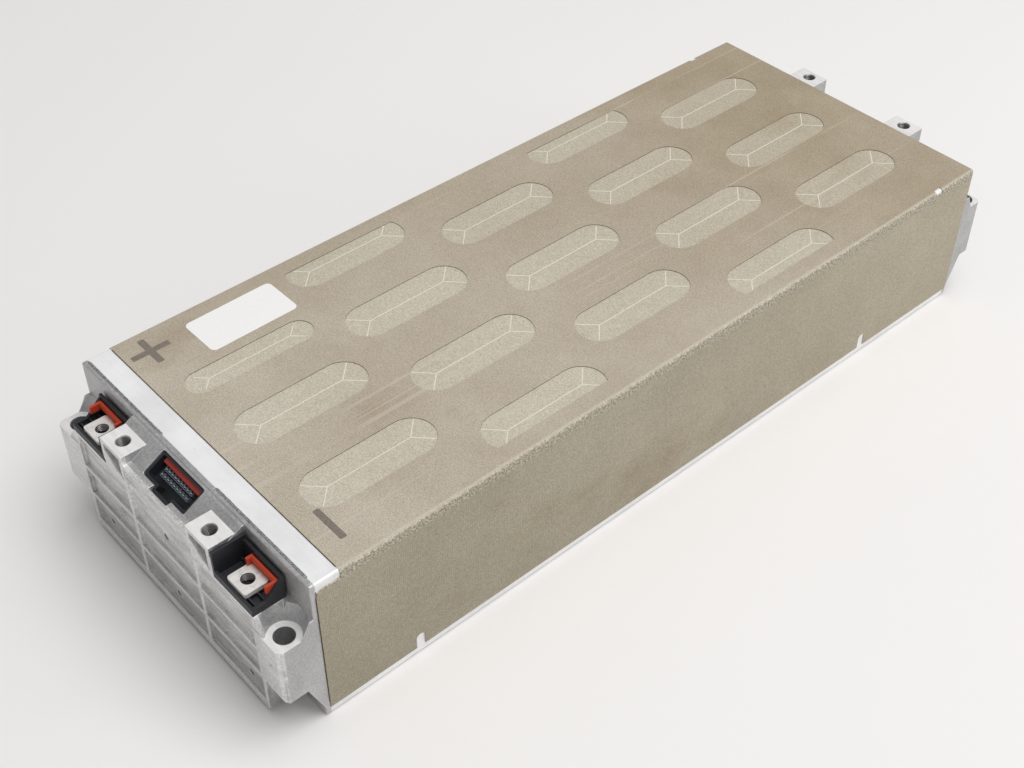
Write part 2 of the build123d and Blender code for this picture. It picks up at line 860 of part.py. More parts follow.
for index in range(cell_count):
    x = cell_x(index)
    with BuildPart() as cell:
        half = cell_thickness / 2 - cell_gap
        block(x - half, x + half, body_front, body_rear, cell_bottom, cell_top)
        chamfer(cell.edges().filter_by(Axis.Y), cell_corner)
        for end in (1, -1):
            seal_end = at_end(end, cell_front - shell_inside_front)
            body_end = at_end(end, body_front - shell_inside_front)
            bar_face = at_end(end, busbar_line - shell_inside_front)
            seal = cell_seal_thickness / 2
            seal_low = cell_bottom + cell_seal_inset
            seal_high = cell_top - cell_seal_inset
            block(x - seal, x + seal, seal_end, body_end, seal_low, seal_high)
            low = cell_middle_z - tab_height / 2
            high = cell_middle_z + tab_height / 2
            tab = tab_thickness / 2
            block(x - tab, x + tab, bar_face - end * tab_thickness, seal_end, low, high)
            block(x - tab, x + tab_fold, bar_face - end * tab_thickness, bar_face, low, high)
    save(cell, f"cell_{index + 1:02d}")

pad_low = cell_bottom + pad_inset
pad_high = cell_top - pad_inset
for name, x in (
    ("side_pad_left", -inner_width / 2 + pad_thickness / 2),
    ("centre_pad", cell_x(half_count) - (cell_thickness + pad_thickness) / 2),
    ("side_pad_right", inner_width / 2 - pad_thickness / 2),
):
    with BuildPart() as pad:
        half = pad_thickness / 2
        block(x - half, x + half, body_front, body_rear, pad_low, pad_high)
    save(pad, name)

with BuildPart() as gap_filler:
    half_width = inner_width / 2 - end_gap
    block(-half_width, half_width, body_front, body_rear, floor_plate, cell_bottom)
save(gap_filler, "gap_filler")

# ---------------------------------------------------------------- busbar frames and busbars
tongue_low = pad_under
tongue_high = pad_under + busbar_thickness
bar_low = cell_middle_z - busbar_height / 2
bar_high = cell_middle_z + busbar_height / 2
strip_top = bar_high + busbar_thickness


def tab_slots(end, y0, y1, cells, gap):
    """Slots for the tabs of some cells, through whatever lies between two places."""
    for index in cells:
        x = cell_x(index)
        half = tab_thickness / 2 + gap
        reach = tab_height / 2 + gap
        block(
            x - half,
            x + half,
            at_end(end, y0),
            at_end(end, y1),
            cell_middle_z - reach,
            cell_middle_z + reach,
            mode=Mode.SUBTRACT,
        )


bar_place = busbar_line - shell_inside_front
frame_place = frame_front - shell_inside_front
cell_place = cell_front - shell_inside_front


def busbar_plate(end, first, last):
    """A plate over the tabs of the cells from first to last, slotted for each tab."""
    x0 = cell_x(first) - cell_thickness / 2 + busbar_margin
    x1 = cell_x(last) + cell_thickness / 2 - busbar_margin
    block(x0, x1, at_end(end, bar_place), at_end(end, frame_place), bar_low, bar_high)
    tab_slots(end, bar_place, frame_place, range(first, last + 1), fit_gap / 2)


def sense_lug(end, x, low):
    """A narrow tongue up to the sensing flex."""
    half = sense_lug_width / 2
    block(x - half, x + half, at_end(end, bar_place), at_end(end, frame_place), low, cell_top)


for end, name in ((1, "front"), (-1, "rear")):
    with BuildPart() as busbar_frame:
        half_width = inner_width / 2 - fit_gap
        outer_face = at_end(end, frame_place)
        cell_face = at_end(end, cell_place)
        block(-half_width, half_width, outer_face, cell_face, cell_bottom, cell_top)
        block(
            -half_width + frame_wall,
            half_width - frame_wall,
            at_end(end, frame_place + frame_wall),
            cell_face,
            cell_bottom + frame_wall,
            cell_top - frame_wall,
            mode=Mode.SUBTRACT,
        )
        tab_slots(end, frame_place, frame_place + frame_wall, range(cell_count), fit_gap)
    save(busbar_frame, f"{name}_busbar_frame")
    with BuildPart() as insulator:
        half_width = inner_width / 2 - end_gap
        block(
            -half_width,
            half_width,
            at_end(end, end_gap),
            at_end(end, end_gap + insulator_sheet),
            cell_bottom,
            cell_top,
        )
        if end > 0:
            for side in (-1, 1):
                half = tongue_width / 2 + end_gap
                block(
                    side * terminal_x - half,
                    side * terminal_x + half,
                    at_end(end, end_gap),
                    at_end(end, end_gap + insulator_sheet),
                    tongue_low - end_gap,
                    tongue_high + end_gap,
                    mode=Mode.SUBTRACT,
                )
    save(insulator, f"{name}_insulator")

# joints between neighbouring groups, alternately at the front and the rear
for end, name, first_group in ((1, "front", 1), (-1, "rear", 0)):
    for number, group in enumerate(range(first_group, group_count - 1, 2), start=1):
        first = group * cells_per_group
        last = first + 2 * cells_per_group - 1
        with BuildPart() as busbar:
            busbar_plate(end, first, last)
            sense_lug(end, (cell_x(first) + cell_x(last)) / 2, bar_high)
        save(busbar, f"{name}_busbar_{number}")

for side, name, first in ((-1, "plus", 0), (1, "minus", cell_count - cells_per_group)):
    last = first + cells_per_group - 1
    outer = first if side < 0 else last
    edge = cell_x(outer) + side * (cell_thickness / 2 - busbar_margin)
    middle = side * terminal_x
    with BuildPart() as terminal_busbar:
        busbar_plate(1, first, last)
        # riser on the outer side, strip above the neighbour and the tongue to the pad
        block(
            edge,
            middle - side * tongue_width / 2,
            at_end(1, bar_place),
            at_end(1, frame_place),
            strip_top,
            tongue_high,
        )
        block(
            edge,
            cell_x(outer) - side * cell_thickness,
            at_end(1, bar_place),
            at_end(1, frame_place),
            bar_high,
            strip_top,
        )
        block(
            middle - tongue_width / 2,
            middle + tongue_width / 2,
            pad_back,
            at_end(1, frame_place),
            tongue_low,
            tongue_high,
        )
        sense_lug(1, (cell_x(first) + cell_x(last)) / 2, tongue_high)
    save(terminal_busbar, f"{name}_busbar")

# ---------------------------------------------------------------- sensing flex
with BuildPart() as sensing_flex:
    flex_back = at_end(-1, frame_place)
    flex_top = cell_top + flex_sheet
    drop_front = shell_inside_front + end_gap / 2 - flex_sheet / 2
    drop_back = drop_front + flex_sheet
    block(-flex_width / 2, flex_width / 2, drop_back, flex_back, cell_top, flex_top)
    block(-flex_neck / 2, flex_neck / 2, drop_front, drop_back, flex_slot_height, flex_top)
    block(
        -flex_neck / 2,
        flex_neck / 2,
        front_y - flex_end_out,
        drop_back,
        flex_slot_height,
        flex_slot_height + flex_sheet,
    )
    for end in (1, -1):
        block(
            -flex_cross_width / 2,
            flex_cross_width / 2,
            at_end(end, bar_place),
            at_end(end, cell_place),
            cell_top,
            flex_top,
        )
save(sensing_flex, "sensing_flex")
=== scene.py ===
"""Looks of the battery module: finishes, welds, print, threads, light and camera."""

import json
from math import atan, cos, pi, radians, sin

import bmesh
import bpy
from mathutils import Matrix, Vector, noise


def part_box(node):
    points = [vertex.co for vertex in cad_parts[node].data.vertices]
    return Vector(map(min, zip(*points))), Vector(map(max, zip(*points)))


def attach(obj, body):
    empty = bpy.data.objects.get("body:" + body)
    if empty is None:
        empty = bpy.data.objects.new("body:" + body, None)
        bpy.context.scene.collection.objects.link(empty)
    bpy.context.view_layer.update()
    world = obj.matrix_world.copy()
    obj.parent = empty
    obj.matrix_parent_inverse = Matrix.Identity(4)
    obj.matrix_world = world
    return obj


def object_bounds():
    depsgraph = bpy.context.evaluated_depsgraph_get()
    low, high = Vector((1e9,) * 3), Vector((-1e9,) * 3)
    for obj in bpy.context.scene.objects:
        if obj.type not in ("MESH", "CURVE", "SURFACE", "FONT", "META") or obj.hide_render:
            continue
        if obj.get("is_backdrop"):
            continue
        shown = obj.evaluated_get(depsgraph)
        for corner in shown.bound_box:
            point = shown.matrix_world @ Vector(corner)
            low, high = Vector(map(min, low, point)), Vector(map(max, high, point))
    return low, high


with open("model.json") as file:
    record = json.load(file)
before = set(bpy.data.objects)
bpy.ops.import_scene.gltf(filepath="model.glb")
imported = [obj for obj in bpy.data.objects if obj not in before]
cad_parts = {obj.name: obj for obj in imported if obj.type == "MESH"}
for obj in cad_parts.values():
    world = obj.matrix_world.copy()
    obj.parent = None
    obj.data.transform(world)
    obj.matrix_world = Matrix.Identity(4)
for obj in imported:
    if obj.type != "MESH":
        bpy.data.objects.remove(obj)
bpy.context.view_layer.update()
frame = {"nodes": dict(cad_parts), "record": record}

MM = 0.001

# places read from the frame
low, high = (Vector(corner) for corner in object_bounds())
cover_low, cover_high = (Vector(corner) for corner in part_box("insulation_cover"))
lid_low, lid_high = (Vector(corner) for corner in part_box("top_plate"))
wall_low, wall_high = (Vector(corner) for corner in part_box("u_frame"))
FRONT_FACE = lid_low.y - 3.2 * MM
REAR_FACE = lid_high.y + 3.2 * MM
COVER_TOP = cover_high.z
LID_TOP = lid_high.z
SIDE = lid_high.x

# vent fields of the cover
VENT_ROWS = 5
VENT_PITCH_X = 61.8 * MM
VENT_PITCH_Y = 99.3 * MM
VENT_MIDDLE_Y = (FRONT_FACE + REAR_FACE) / 2 + 1.3 * MM
VENT_RADIUS = 15 * MM
VENT_HALF_STRAIGHT = 28 * MM
VENT_DROP = 0.45 * MM
VENT_OUTER_REACH = 7.5 * MM
NARROW_SHIFT = 10.6 * MM
NARROW_HALF = 9.7 * MM

# bolt places
POST_X = 43 * MM
FRONT_POST = (FRONT_FACE - 14 * MM, 104 * MM)
REAR_POST = (REAR_FACE + 14.5 * MM, 102.5 * MM)
TERMINAL_X = 73 * MM
TERMINAL = (FRONT_FACE - 12.4 * MM, 90.4 * MM)
EAR_TOP = 73 * MM
BLOCK_FRONT = FRONT_FACE - 22 * MM


# ---------------------------------------------------------------- node helpers
class Shader:
    """One material's node tree, with short calls for the nodes used here."""

    def __init__(self, name, roughness=0.5, metallic=0.0, color=(0.8, 0.8, 0.8), specular=0.5):
        self.material = bpy.data.materials.new(name)
        self.material.use_nodes = True
        self.tree = self.material.node_tree
        self.surface = self.tree.nodes["Principled BSDF"]
        self.surface.inputs["Roughness"].default_value = roughness
        self.surface.inputs["Metallic"].default_value = metallic
        self.surface.inputs["Base Color"].default_value = (*color, 1)
        self.surface.inputs["Specular IOR Level"].default_value = specular
        self.place = self.add("ShaderNodeTexCoord").outputs["Object"]

    def add(self, kind, **settings):
        made = self.tree.nodes.new(kind)
        for key, value in settings.items():
            setattr(made, key, value)
        return made

    def link(self, source, target):
        self.tree.links.new(source, target)

    def value(self, socket, source):
        if isinstance(source, (int, float)):
            socket.default_value = source
        else:
            self.link(source, socket)

    def math(self, operation, a, b=0.0, clamp=False):
        made = self.add("ShaderNodeMath", operation=operation, use_clamp=clamp)
        self.value(made.inputs[0], a)
        self.value(made.inputs[1], b)
        return made.outputs[0]

    def stretch(self, factors):
        made = self.add("ShaderNodeMapping")
        made.inputs["Scale"].default_value = factors
        self.link(self.place, made.inputs["Vector"])
        return made.outputs["Vector"]

    def noise(self, scale, detail=2.0, roughness=0.5, stretch=None, distortion=0.0):
        made = self.add("ShaderNodeTexNoise")
        self.link(self.stretch(stretch) if stretch else self.place, made.inputs["Vector"])
        made.inputs["Scale"].default_value = scale
        made.inputs["Detail"].default_value = detail
        made.inputs["Roughness"].default_value = roughness
        made.inputs["Distortion"].default_value = distortion
        return made.outputs["Fac"]

    def bands(self, direction, scale, distortion=0.0):
        made = self.add("ShaderNodeTexWave", wave_type="BANDS", bands_direction=direction)
        self.link(self.place, made.inputs["Vector"])
        made.inputs["Scale"].default_value = scale
        made.inputs["Distortion"].default_value = distortion
        return made.outputs["Fac"]

    def ramp(self, source, low_value, high_value, low_at=0.0, high_at=1.0):
        made = self.add("ShaderNodeMapRange")
        self.link(source, made.inputs["Value"])
        made.inputs["From Min"].default_value = low_at
        made.inputs["From Max"].default_value = high_at
        made.inputs["To Min"].default_value = low_value
        made.inputs["To Max"].default_value = high_value
        return made.outputs["Result"]

    def mix(self, factor, a, b, blend="MIX"):
        made = self.add("ShaderNodeMix", data_type="RGBA", blend_type=blend)
        self.value(made.inputs["Factor"], factor)
        for socket, source in ((made.inputs[6], a), (made.inputs[7], b)):
            if isinstance(source, tuple):
                socket.default_value = (*source, 1)
            else:
                self.link(source, socket)
        return made.outputs[2]

    def axis(self, name):
        if not hasattr(self, "split"):
            self.split = self.add("ShaderNodeSeparateXYZ")
            self.link(self.place, self.split.inputs[0])
        return self.split.outputs[name]

    def up(self):
        """How far the surface faces up, from 0 to 1."""
        split = self.add("ShaderNodeSeparateXYZ")
        self.link(self.add("ShaderNodeNewGeometry").outputs["Normal"], split.inputs[0])
        return self.math("MAXIMUM", split.outputs["Z"], 0.0)

    def bevel(self, radius):
        """Rounded look of hard edges; returns how much of an edge is near."""
        made = self.add("ShaderNodeBevel", samples=6)
        made.inputs["Radius"].default_value = radius
        self.link(made.outputs["Normal"], self.surface.inputs["Normal"])
        against = self.add("ShaderNodeVectorMath", operation="DOT_PRODUCT")
        self.link(made.outputs["Normal"], against.inputs[0])
        self.link(self.add("ShaderNodeNewGeometry").outputs["True Normal"], against.inputs[1])
        return self.ramp(against.outputs["Value"], 1.0, 0.0, 0.90, 0.995)

    def color(self, source):
        self.link(source, self.surface.inputs["Base Color"])

    def rough(self, source):
        self.link(source, self.surface.inputs["Roughness"])

    def bump(self, height, distance, strength=1.0):
        made = self.add("ShaderNodeBump")
        made.inputs["Distance"].default_value = distance
        made.inputs["Strength"].default_value = strength
        self.link(height, made.inputs["Height"])
        if self.surface.inputs["Normal"].is_linked:
            self.link(self.surface.inputs["Normal"].links[0].from_socket, made.inputs["Normal"])
        self.link(made.outputs["Normal"], self.surface.inputs["Normal"])

    def gray(self, source):
        """A gray colour from a number."""
        made = self.add("ShaderNodeCombineColor")
        for name in ("Red", "Green", "Blue"):
            self.link(source, made.inputs[name])
        return made.outputs["Color"]


# ---------------------------------------------------------------- materials
def insulation_material():
    """Khaki woven sheet: weave, speckle, dirt, painted shade, faint long scratches and crumpled folds."""
    s = Shader("insulation", roughness=0.85, specular=0.2)
    across = s.axis("X")
    height = s.axis("Z")
    top = s.math("GREATER_THAN", height, COVER_TOP - 1.4 * MM)
    field = s.ramp(height, 1.0, 0.0, COVER_TOP - VENT_DROP * 0.9, COVER_TOP - VENT_DROP * 0.5)
    field = s.math("MULTIPLY", field, s.math("MULTIPLY", top, s.up()))
    # the crumpled band under each long fold, with the light and shade of its crinkles painted in, and the
    # light line on the fold
    side = s.math("GREATER_THAN", s.math("ABSOLUTE", across), cover_high.x - 1.2 * MM)
    wander = s.math("MULTIPLY", s.noise(22, 2, 0.5), 3.0 * MM)
    below = s.math("SUBTRACT", COVER_TOP - 0.8 * MM, s.math("ADD", height, wander))
    band = s.ramp(below, 1.0, 0.0, 4.4 * MM, 5.6 * MM)
    band = s.math("MULTIPLY", band, side)
    crest = s.math("SUBTRACT", s.math("ABSOLUTE", across), cover_high.x - 2.4 * MM)
    near_top = s.ramp(height, 0.0, 1.0, COVER_TOP - 1.2 * MM, COVER_TOP - 0.5 * MM)
    crest = s.math("MULTIPLY", s.ramp(crest, 0.0, 1.0, 0.0, 1.2 * MM), near_top)

    # darker and browner towards the rear and the plus side: partly dirt, partly painted shade where the light
    # falls off
    rearward = s.ramp(s.axis("Y"), 0.0, 0.75, FRONT_FACE, REAR_FACE)
    drift = s.math("ADD", rearward, s.ramp(across, 0.35, 0.0, -SIDE, SIDE))
    drift = s.math("ADD", drift, s.ramp(s.noise(7, 4, 0.6), -0.35, 0.35, 0.3, 0.7))
    darkening = s.ramp(drift, 0.0, 1.0, 0.15, 1.05)
    clouds = s.ramp(s.noise(30, 3, 0.55), 0, 1, 0.35, 0.65)
    clean = s.mix(clouds, (0.500, 0.440, 0.355), (0.545, 0.488, 0.400))
    clouds = s.ramp(s.noise(24, 3, 0.55), 0, 1, 0.35, 0.65)
    darker_khaki = s.mix(clouds, (0.385, 0.318, 0.226), (0.43, 0.362, 0.265))
    khaki = s.mix(darkening, clean, darker_khaki)
    pale = s.mix(darkening, (0.600, 0.552, 0.452), (0.505, 0.455, 0.350))
    flat = s.mix(field, khaki, pale)
    # the thin step wall around each field is painted dark, as shade
    inside = s.math("LESS_THAN", s.math("ABSOLUTE", across), cover_high.x - 4 * MM)
    step = s.math("MULTIPLY", s.math("LESS_THAN", s.up(), 0.5), s.math("MULTIPLY", inside, top))
    flat = s.mix(s.math("MULTIPLY", step, 0.8), flat, (0.10, 0.08, 0.055))
    # the side is more olive; it is painted darker than the top, and darker still low down and towards the
    # front, as shade
    clouds = s.ramp(s.noise(16, 3, 0.6), 0, 1, 0.35, 0.65)
    olive = s.mix(clouds, (0.385, 0.345, 0.262), (0.425, 0.382, 0.294))
    rearward = s.ramp(s.axis("Y"), 0.0, 0.20, FRONT_FACE, REAR_FACE)
    fade = s.math("ADD", rearward, s.ramp(height, 0.91, 1.0, 0.0, 60 * MM))
    olive = s.mix(1.0, olive, s.gray(fade), "MULTIPLY")
    base = s.mix(s.math("SUBTRACT", 1.0, top), flat, olive)
    stain = s.ramp(s.noise(9, 5, 0.62, stretch=(1.5, 0.8, 1.0)), 0.0, 0.55, 0.6, 0.8)
    base = s.mix(stain, base, (0.30, 0.23, 0.14))
    # speckle of the woven glass
    fine = s.noise(980, 2, 0.7)
    coarse = s.noise(330, 3, 0.7)
    finest = s.noise(1500, 1, 0.5)
    speckle = s.math("ADD", s.ramp(fine, 0.86, 1.12, 0.34, 0.66), s.ramp(finest, -0.13, 0.13, 0.30, 0.70))
    blotch = s.math("MULTIPLY", s.ramp(coarse, -0.03, 0.03, 0.35, 0.65), s.math("SUBTRACT", 1.0, field))
    speckle = s.math("ADD", speckle, blotch)
    base = s.mix(1.0, base, s.gray(speckle), "MULTIPLY")
    weave = s.math("ADD", s.bands("X", 262, 1.2), s.bands("Y", 262, 1.2))
    weave = s.math("ADD", weave, s.math("MULTIPLY", s.bands("Z", 262, 1.2), side))
    base = s.mix(0.6, base, s.gray(s.ramp(weave, 0.88, 1.10, 0.3, 1.9)), "MULTIPLY")
    crumple = s.ramp(s.noise(720, 2, 0.8), 0.0, 1.0, 0.40, 0.60)
    # painted light and shade of the crinkles, from the same noise as their bump
    painted_crinkle_shading = s.mix(crumple, (0.25, 0.22, 0.16), (0.74, 0.68, 0.56))
    base = s.mix(s.math("MULTIPLY", band, 0.7), base, painted_crinkle_shading)
    base = s.mix(s.math("MULTIPLY", crest, 0.55), base, (0.68, 0.62, 0.52))
    # faint scratches along the module
    long_mark = s.ramp(s.noise(260, 1, 0.5, stretch=(1.0, 0.004, 0.2)), 0.0, 1.0, 0.66, 0.70)
    broken = s.ramp(s.noise(9, 2, 0.5), 0.0, 0.45, 0.47, 0.58)
    base = s.mix(s.math("MULTIPLY", long_mark, s.math("MULTIPLY", broken, top)), base, (0.62, 0.55, 0.45))
    s.color(base)
    s.bump(weave, 0.05 * MM, 0.8)
    s.bump(fine, 0.14 * MM, 0.8)
    s.bump(s.math("MULTIPLY", band, crumple), 0.22 * MM, 1.0)
    s.bump(s.noise(26, 2, 0.5), 0.25 * MM, 0.5)
    return s.material


def cast_material():
    """Satin die-cast aluminium with edges rubbed bright by wear and painted brighter as highlights, painted
    light on the front ribs and beds, and machined pads on the posts and ears.
    """
    s = Shader("cast_aluminium", roughness=0.45, metallic=0.75)
    edge = s.bevel(0.7 * MM)
    level = s.axis("Z")
    up = s.ramp(s.up(), 0.0, 1.0, 0.985, 0.995)
    pads = None
    for place in (FRONT_POST[1], REAR_POST[1], EAR_TOP):
        near = s.math("LESS_THAN", s.math("ABSOLUTE", s.math("SUBTRACT", level, place)), 0.15 * MM)
        pads = near if pads is None else s.math("MAXIMUM", pads, near)
    pads = s.math("MULTIPLY", pads, up)
    patches = s.ramp(s.noise(38, 4, 0.6, distortion=0.6), 0, 1, 0.36, 0.64)
    skin = s.mix(patches, (0.46, 0.46, 0.465), (0.56, 0.557, 0.554))
    # thin rib crests are painted bright as highlights; the beds between them keep their flow marks and are
    # painted darker low down and lighter high up, as light from above
    front = s.math("LESS_THAN", s.axis("Y"), BLOCK_FRONT + 2.6 * MM)
    crest = s.math("LESS_THAN", s.axis("Y"), BLOCK_FRONT + 0.5 * MM)
    flow = s.ramp(s.noise(150, 4, 0.65, stretch=(0.25, 1.0, 1.0), distortion=0.8), 0.82, 1.22, 0.36, 0.64)
    bed = s.mix(s.ramp(level, 0.0, 1.0, 20 * MM, 85 * MM), (0.44, 0.437, 0.435), (0.72, 0.715, 0.71))
    bed = s.mix(1.0, bed, s.gray(flow), "MULTIPLY")
    bed = s.mix(s.math("MULTIPLY", crest, 0.5), bed, (0.86, 0.855, 0.85))
    skin = s.mix(front, skin, bed)
    grain = s.noise(760, 3, 0.65)
    skin = s.mix(0.8, skin, s.gray(s.ramp(grain, 0.80, 1.16, 0.36, 0.64)), "MULTIPLY")
    scuffs = s.ramp(s.noise(95, 5, 0.75), 0.0, 0.8, 0.62, 0.72)
    skin = s.mix(scuffs, skin, (0.30, 0.295, 0.29))
    # edges painted near white: partly wear, partly painted highlight on the rounded edges
    skin = s.mix(s.math("MULTIPLY", edge, 0.8), skin, (0.90, 0.895, 0.89))
    marks = s.noise(300, 2, 0.5, stretch=(0.22, 1.0, 1.0))
    bright = s.mix(s.ramp(marks, 0, 1, 0.35, 0.65), (0.80, 0.79, 0.785), (0.90, 0.89, 0.885))
    s.color(s.mix(pads, skin, bright))
    s.link(s.ramp(pads, 0.65, 0.15), s.surface.inputs["Metallic"])
    s.rough(s.ramp(grain, 0.38, 0.55, 0.35, 0.65))
    s.bump(grain, 0.12 * MM, 0.6)
    s.bump(s.noise(120, 3, 0.6), 0.25 * MM, 0.5)
    return s.material


def sheet_material():
    """Bright rolled aluminium of the lid and the walls."""
    s = Shader("sheet_aluminium", roughness=0.38, metallic=0.2)
    s.bevel(0.5 * MM)
    rolled = s.noise(260, 3, 0.6, stretch=(0.02, 1.0, 1.0))
    clouds = s.ramp(s.noise(28, 4, 0.6), 0.93, 1.05, 0.35, 0.65)
    plate = s.mix(s.ramp(rolled, 0, 1, 0.3, 0.7), (0.90, 0.905, 0.915), (0.95, 0.955, 0.96))
    specks = s.ramp(s.noise(240, 4, 0.7), 0.0, 0.6, 0.68, 0.74)
    plate = s.mix(1.0, plate, s.gray(clouds), "MULTIPLY")
    s.color(s.mix(specks, plate, (0.42, 0.42, 0.425)))
    s.rough(s.ramp(s.noise(70, 3, 0.6), 0.36, 0.54, 0.3, 0.7))
    s.bump(rolled, 0.03 * MM, 0.5)
    s.bump(s.noise(60, 2, 0.5), 0.12 * MM, 0.4)
    return s.material


def plastic_material(name, dark, light, roughness, grain_size=1400):
    """Moulded plastic with a fine spark-eroded grain and soft edges, painted lighter as highlights."""
    s = Shader(name, roughness=roughness, specular=0.5)
    edge = s.bevel(0.3 * MM)
    grain = s.noise(grain_size, 2, 0.6)
    body = s.mix(s.noise(60, 3, 0.5), dark, light)
    # edges painted lighter, as a highlight on the rounded edges
    s.color(s.mix(s.math("MULTIPLY", edge, 0.5), body, tuple(min(1.0, 2.2 * v + 0.01) for v in light)))
    s.rough(s.ramp(grain, roughness - 0.08, roughness + 0.12, 0.3, 0.7))
    s.bump(grain, 0.05 * MM, 0.6)
    return s.material


def pad_material():
    """Plated terminal metal with turned marks and small dirt."""
    s = Shader("terminal_metal", roughness=0.38, metallic=0.25)
    s.bevel(0.3 * MM)
    marks = s.noise(500, 2, 0.5, stretch=(1.0, 0.15, 1.0))
    clean = s.mix(s.ramp(marks, 0, 1, 0.35, 0.65), (0.80, 0.785, 0.75), (0.90, 0.885, 0.855))
    darkening = s.ramp(s.noise(150, 4, 0.7), 0.0, 0.7, 0.56, 0.72)
    s.color(s.mix(darkening, clean, (0.43, 0.40, 0.36)))
    s.rough(s.ramp(marks, 0.32, 0.5, 0.3, 0.7))
    s.bump(marks, 0.03 * MM, 0.6)
    return s.material


def film_material(name, dark, light, roughness, metallic=0.0):
    """Plain film, foam or pouch foil, for the pieces held inside."""
    s = Shader(name, roughness=roughness, metallic=metallic)
    mottle = s.noise(180, 3, 0.6)
    s.color(s.mix(mottle, dark, light))
    s.bump(mottle, 0.1 * MM, 0.4)
    return s.material


def weld_material():
    """Dark stippled laser seam."""
    s = Shader("laser_weld", roughness=0.6, metallic=0.6)
    grain = s.noise(1100, 3, 0.7)
    s.color(s.mix(s.ramp(grain, 0, 1, 0.35, 0.65), (0.13, 0.125, 0.125), (0.46, 0.455, 0.455)))
    s.bump(grain, 0.2 * MM, 0.9)
    return s.material


def print_material(name, dark, light):
    """Ink or paper that lets a little of the weave show."""
    s = Shader(name, roughness=0.8, specular=0.2)
    fine = s.noise(900, 2, 0.7)
    s.color(s.mix(s.ramp(fine, 0, 1, 0.3, 0.7), dark, light))
    s.bump(fine, 0.05 * MM, 0.6)
    return s.material


INSULATION = insulation_material()
CAST = cast_material()
SHEET = sheet_material()
BLACK = plastic_material("black_plastic", (0.012, 0.013, 0.017), (0.024, 0.026, 0.032), 0.48)
ORANGE = plastic_material("orange_plastic", (0.45, 0.04, 0.014), (0.60, 0.07, 0.024), 0.42)
RED = plastic_material("red_plastic", (0.26, 0.02, 0.014), (0.36, 0.035, 0.02), 0.4)
PAD = pad_material()
CONTACT = film_material("contact_metal", (0.50, 0.48, 0.44), (0.66, 0.64, 0.60), 0.32, 0.9)
POUCH = film_material("cell_pouch", (0.48, 0.49, 0.50), (0.62, 0.63, 0.64), 0.4, 0.6)
FOAM = film_material("foam", (0.03, 0.03, 0.033), (0.06, 0.06, 0.065), 0.9)
FILLER = film_material("gap_filler", (0.40, 0.45, 0.55), (0.5, 0.55, 0.65), 0.7)
FRAME_PLASTIC = plastic_material("frame_plastic", (0.58, 0.58, 0.54), (0.68, 0.68, 0.64), 0.5)
CLEAR = film_material("clear_film", (0.62, 0.62, 0.60), (0.72, 0.72, 0.70), 0.4)
FLEX = film_material("flex_film", (0.34, 0.15, 0.025), (0.42, 0.2, 0.04), 0.35)
# thread steel made darker as painted shade inside the holes; the bore sleeves use it too
THREAD = film_material("thread_steel_and_bore_shade", (0.16, 0.155, 0.15), (0.30, 0.29, 0.28), 0.35, 0.85)
SLEEVE = plastic_material("sleeve_plastic", (0.065, 0.08, 0.105), (0.12, 0.145, 0.185), 0.45)
# dark strips on the cover's cut edges: painted shadow under the edges, partly glue
EDGE = print_material("edge_shadow_and_glue", (0.07, 0.052, 0.032), (0.13, 0.10, 0.065))
WELD = weld_material()
INK = print_material("print_ink", (0.175, 0.15, 0.125), (0.27, 0.235, 0.20))
PAPER = print_material("label_paper", (0.90, 0.895, 0.885), (0.94, 0.936, 0.928))
SCORE = print_material("score_line", (0.72, 0.69, 0.60), (0.84, 0.81, 0.72))

BY_SLOT = {
    "cast_aluminium": CAST,
    "sheet_aluminium": SHEET,
    "insulation": INSULATION,
    "black_plastic": BLACK,
    "orange_plastic": ORANGE,
    "red_plastic": RED,
    "terminal_metal": PAD,
    "contact_metal": CONTACT,
    "cell_pouch": POUCH,
    "foam": FOAM,
    "gap_filler": FILLER,
    "frame_plastic": FRAME_PLASTIC,
    "clear_film": CLEAR,
    "flex_film": FLEX,
}
for entry in frame["record"]["subparts"]:
    node = frame["nodes"][entry["node"]]
    for index in range(max(1, len(node.data.materials))):
        if index < len(node.data.materials):
            node.material_slots[index].material = BY_SLOT[entry["material_slot"]]
        else:
            node.data.materials.append(BY_SLOT[entry["material_slot"]])


# ---------------------------------------------------------------- piece helpers
def new_piece(name, mesh, material, smooth=False):
    """Put a finished bmesh into the scene as a piece on the module."""
    data = bpy.data.meshes.new(name)
    bmesh.ops.recalc_face_normals(mesh, faces=mesh.faces)
    mesh.to_mesh(data)
    mesh.free()
    piece = bpy.data.objects.new(name, data)
    bpy.context.collection.objects.link(piece)
    data.materials.append(material)
    for polygon in data.polygons:
        polygon.use_smooth = smooth
    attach(piece, "root")
    return piece


def slab(mesh, outline, bottom, top):
    """A flat slab with any outline, between two heights."""
    lower = [mesh.verts.new((x, y, bottom)) for x, y in outline]
    upper = [mesh.verts.new((x, y, top)) for x, y in outline]
    mesh.faces.new(upper)
    mesh.faces.new(lower[::-1])
    count = len(outline)
    for i in range(count):
        j = (i + 1) % count
        mesh.faces.new((lower[i], lower[j], upper[j], upper[i]))


def rounded(center, width, depth, radius, turn=0.0, steps=6):
    """Points of a rounded rectangle."""
    turn_x, turn_y = cos(turn), sin(turn)
    points = []
    for corner in range(4):
        middle_x = (width / 2 - radius) * (1 if corner in (0, 3) else -1)
        middle_y = (depth / 2 - radius) * (1 if corner in (0, 1) else -1)
        for step in range(steps + 1):
            angle = pi / 2 * (corner + step / steps)
            x = middle_x + radius * cos(angle)
            y = middle_y + radius * sin(angle)
            points.append((center[0] + x * turn_x - y * turn_y, center[1] + x * turn_y + y * turn_x))
    return points


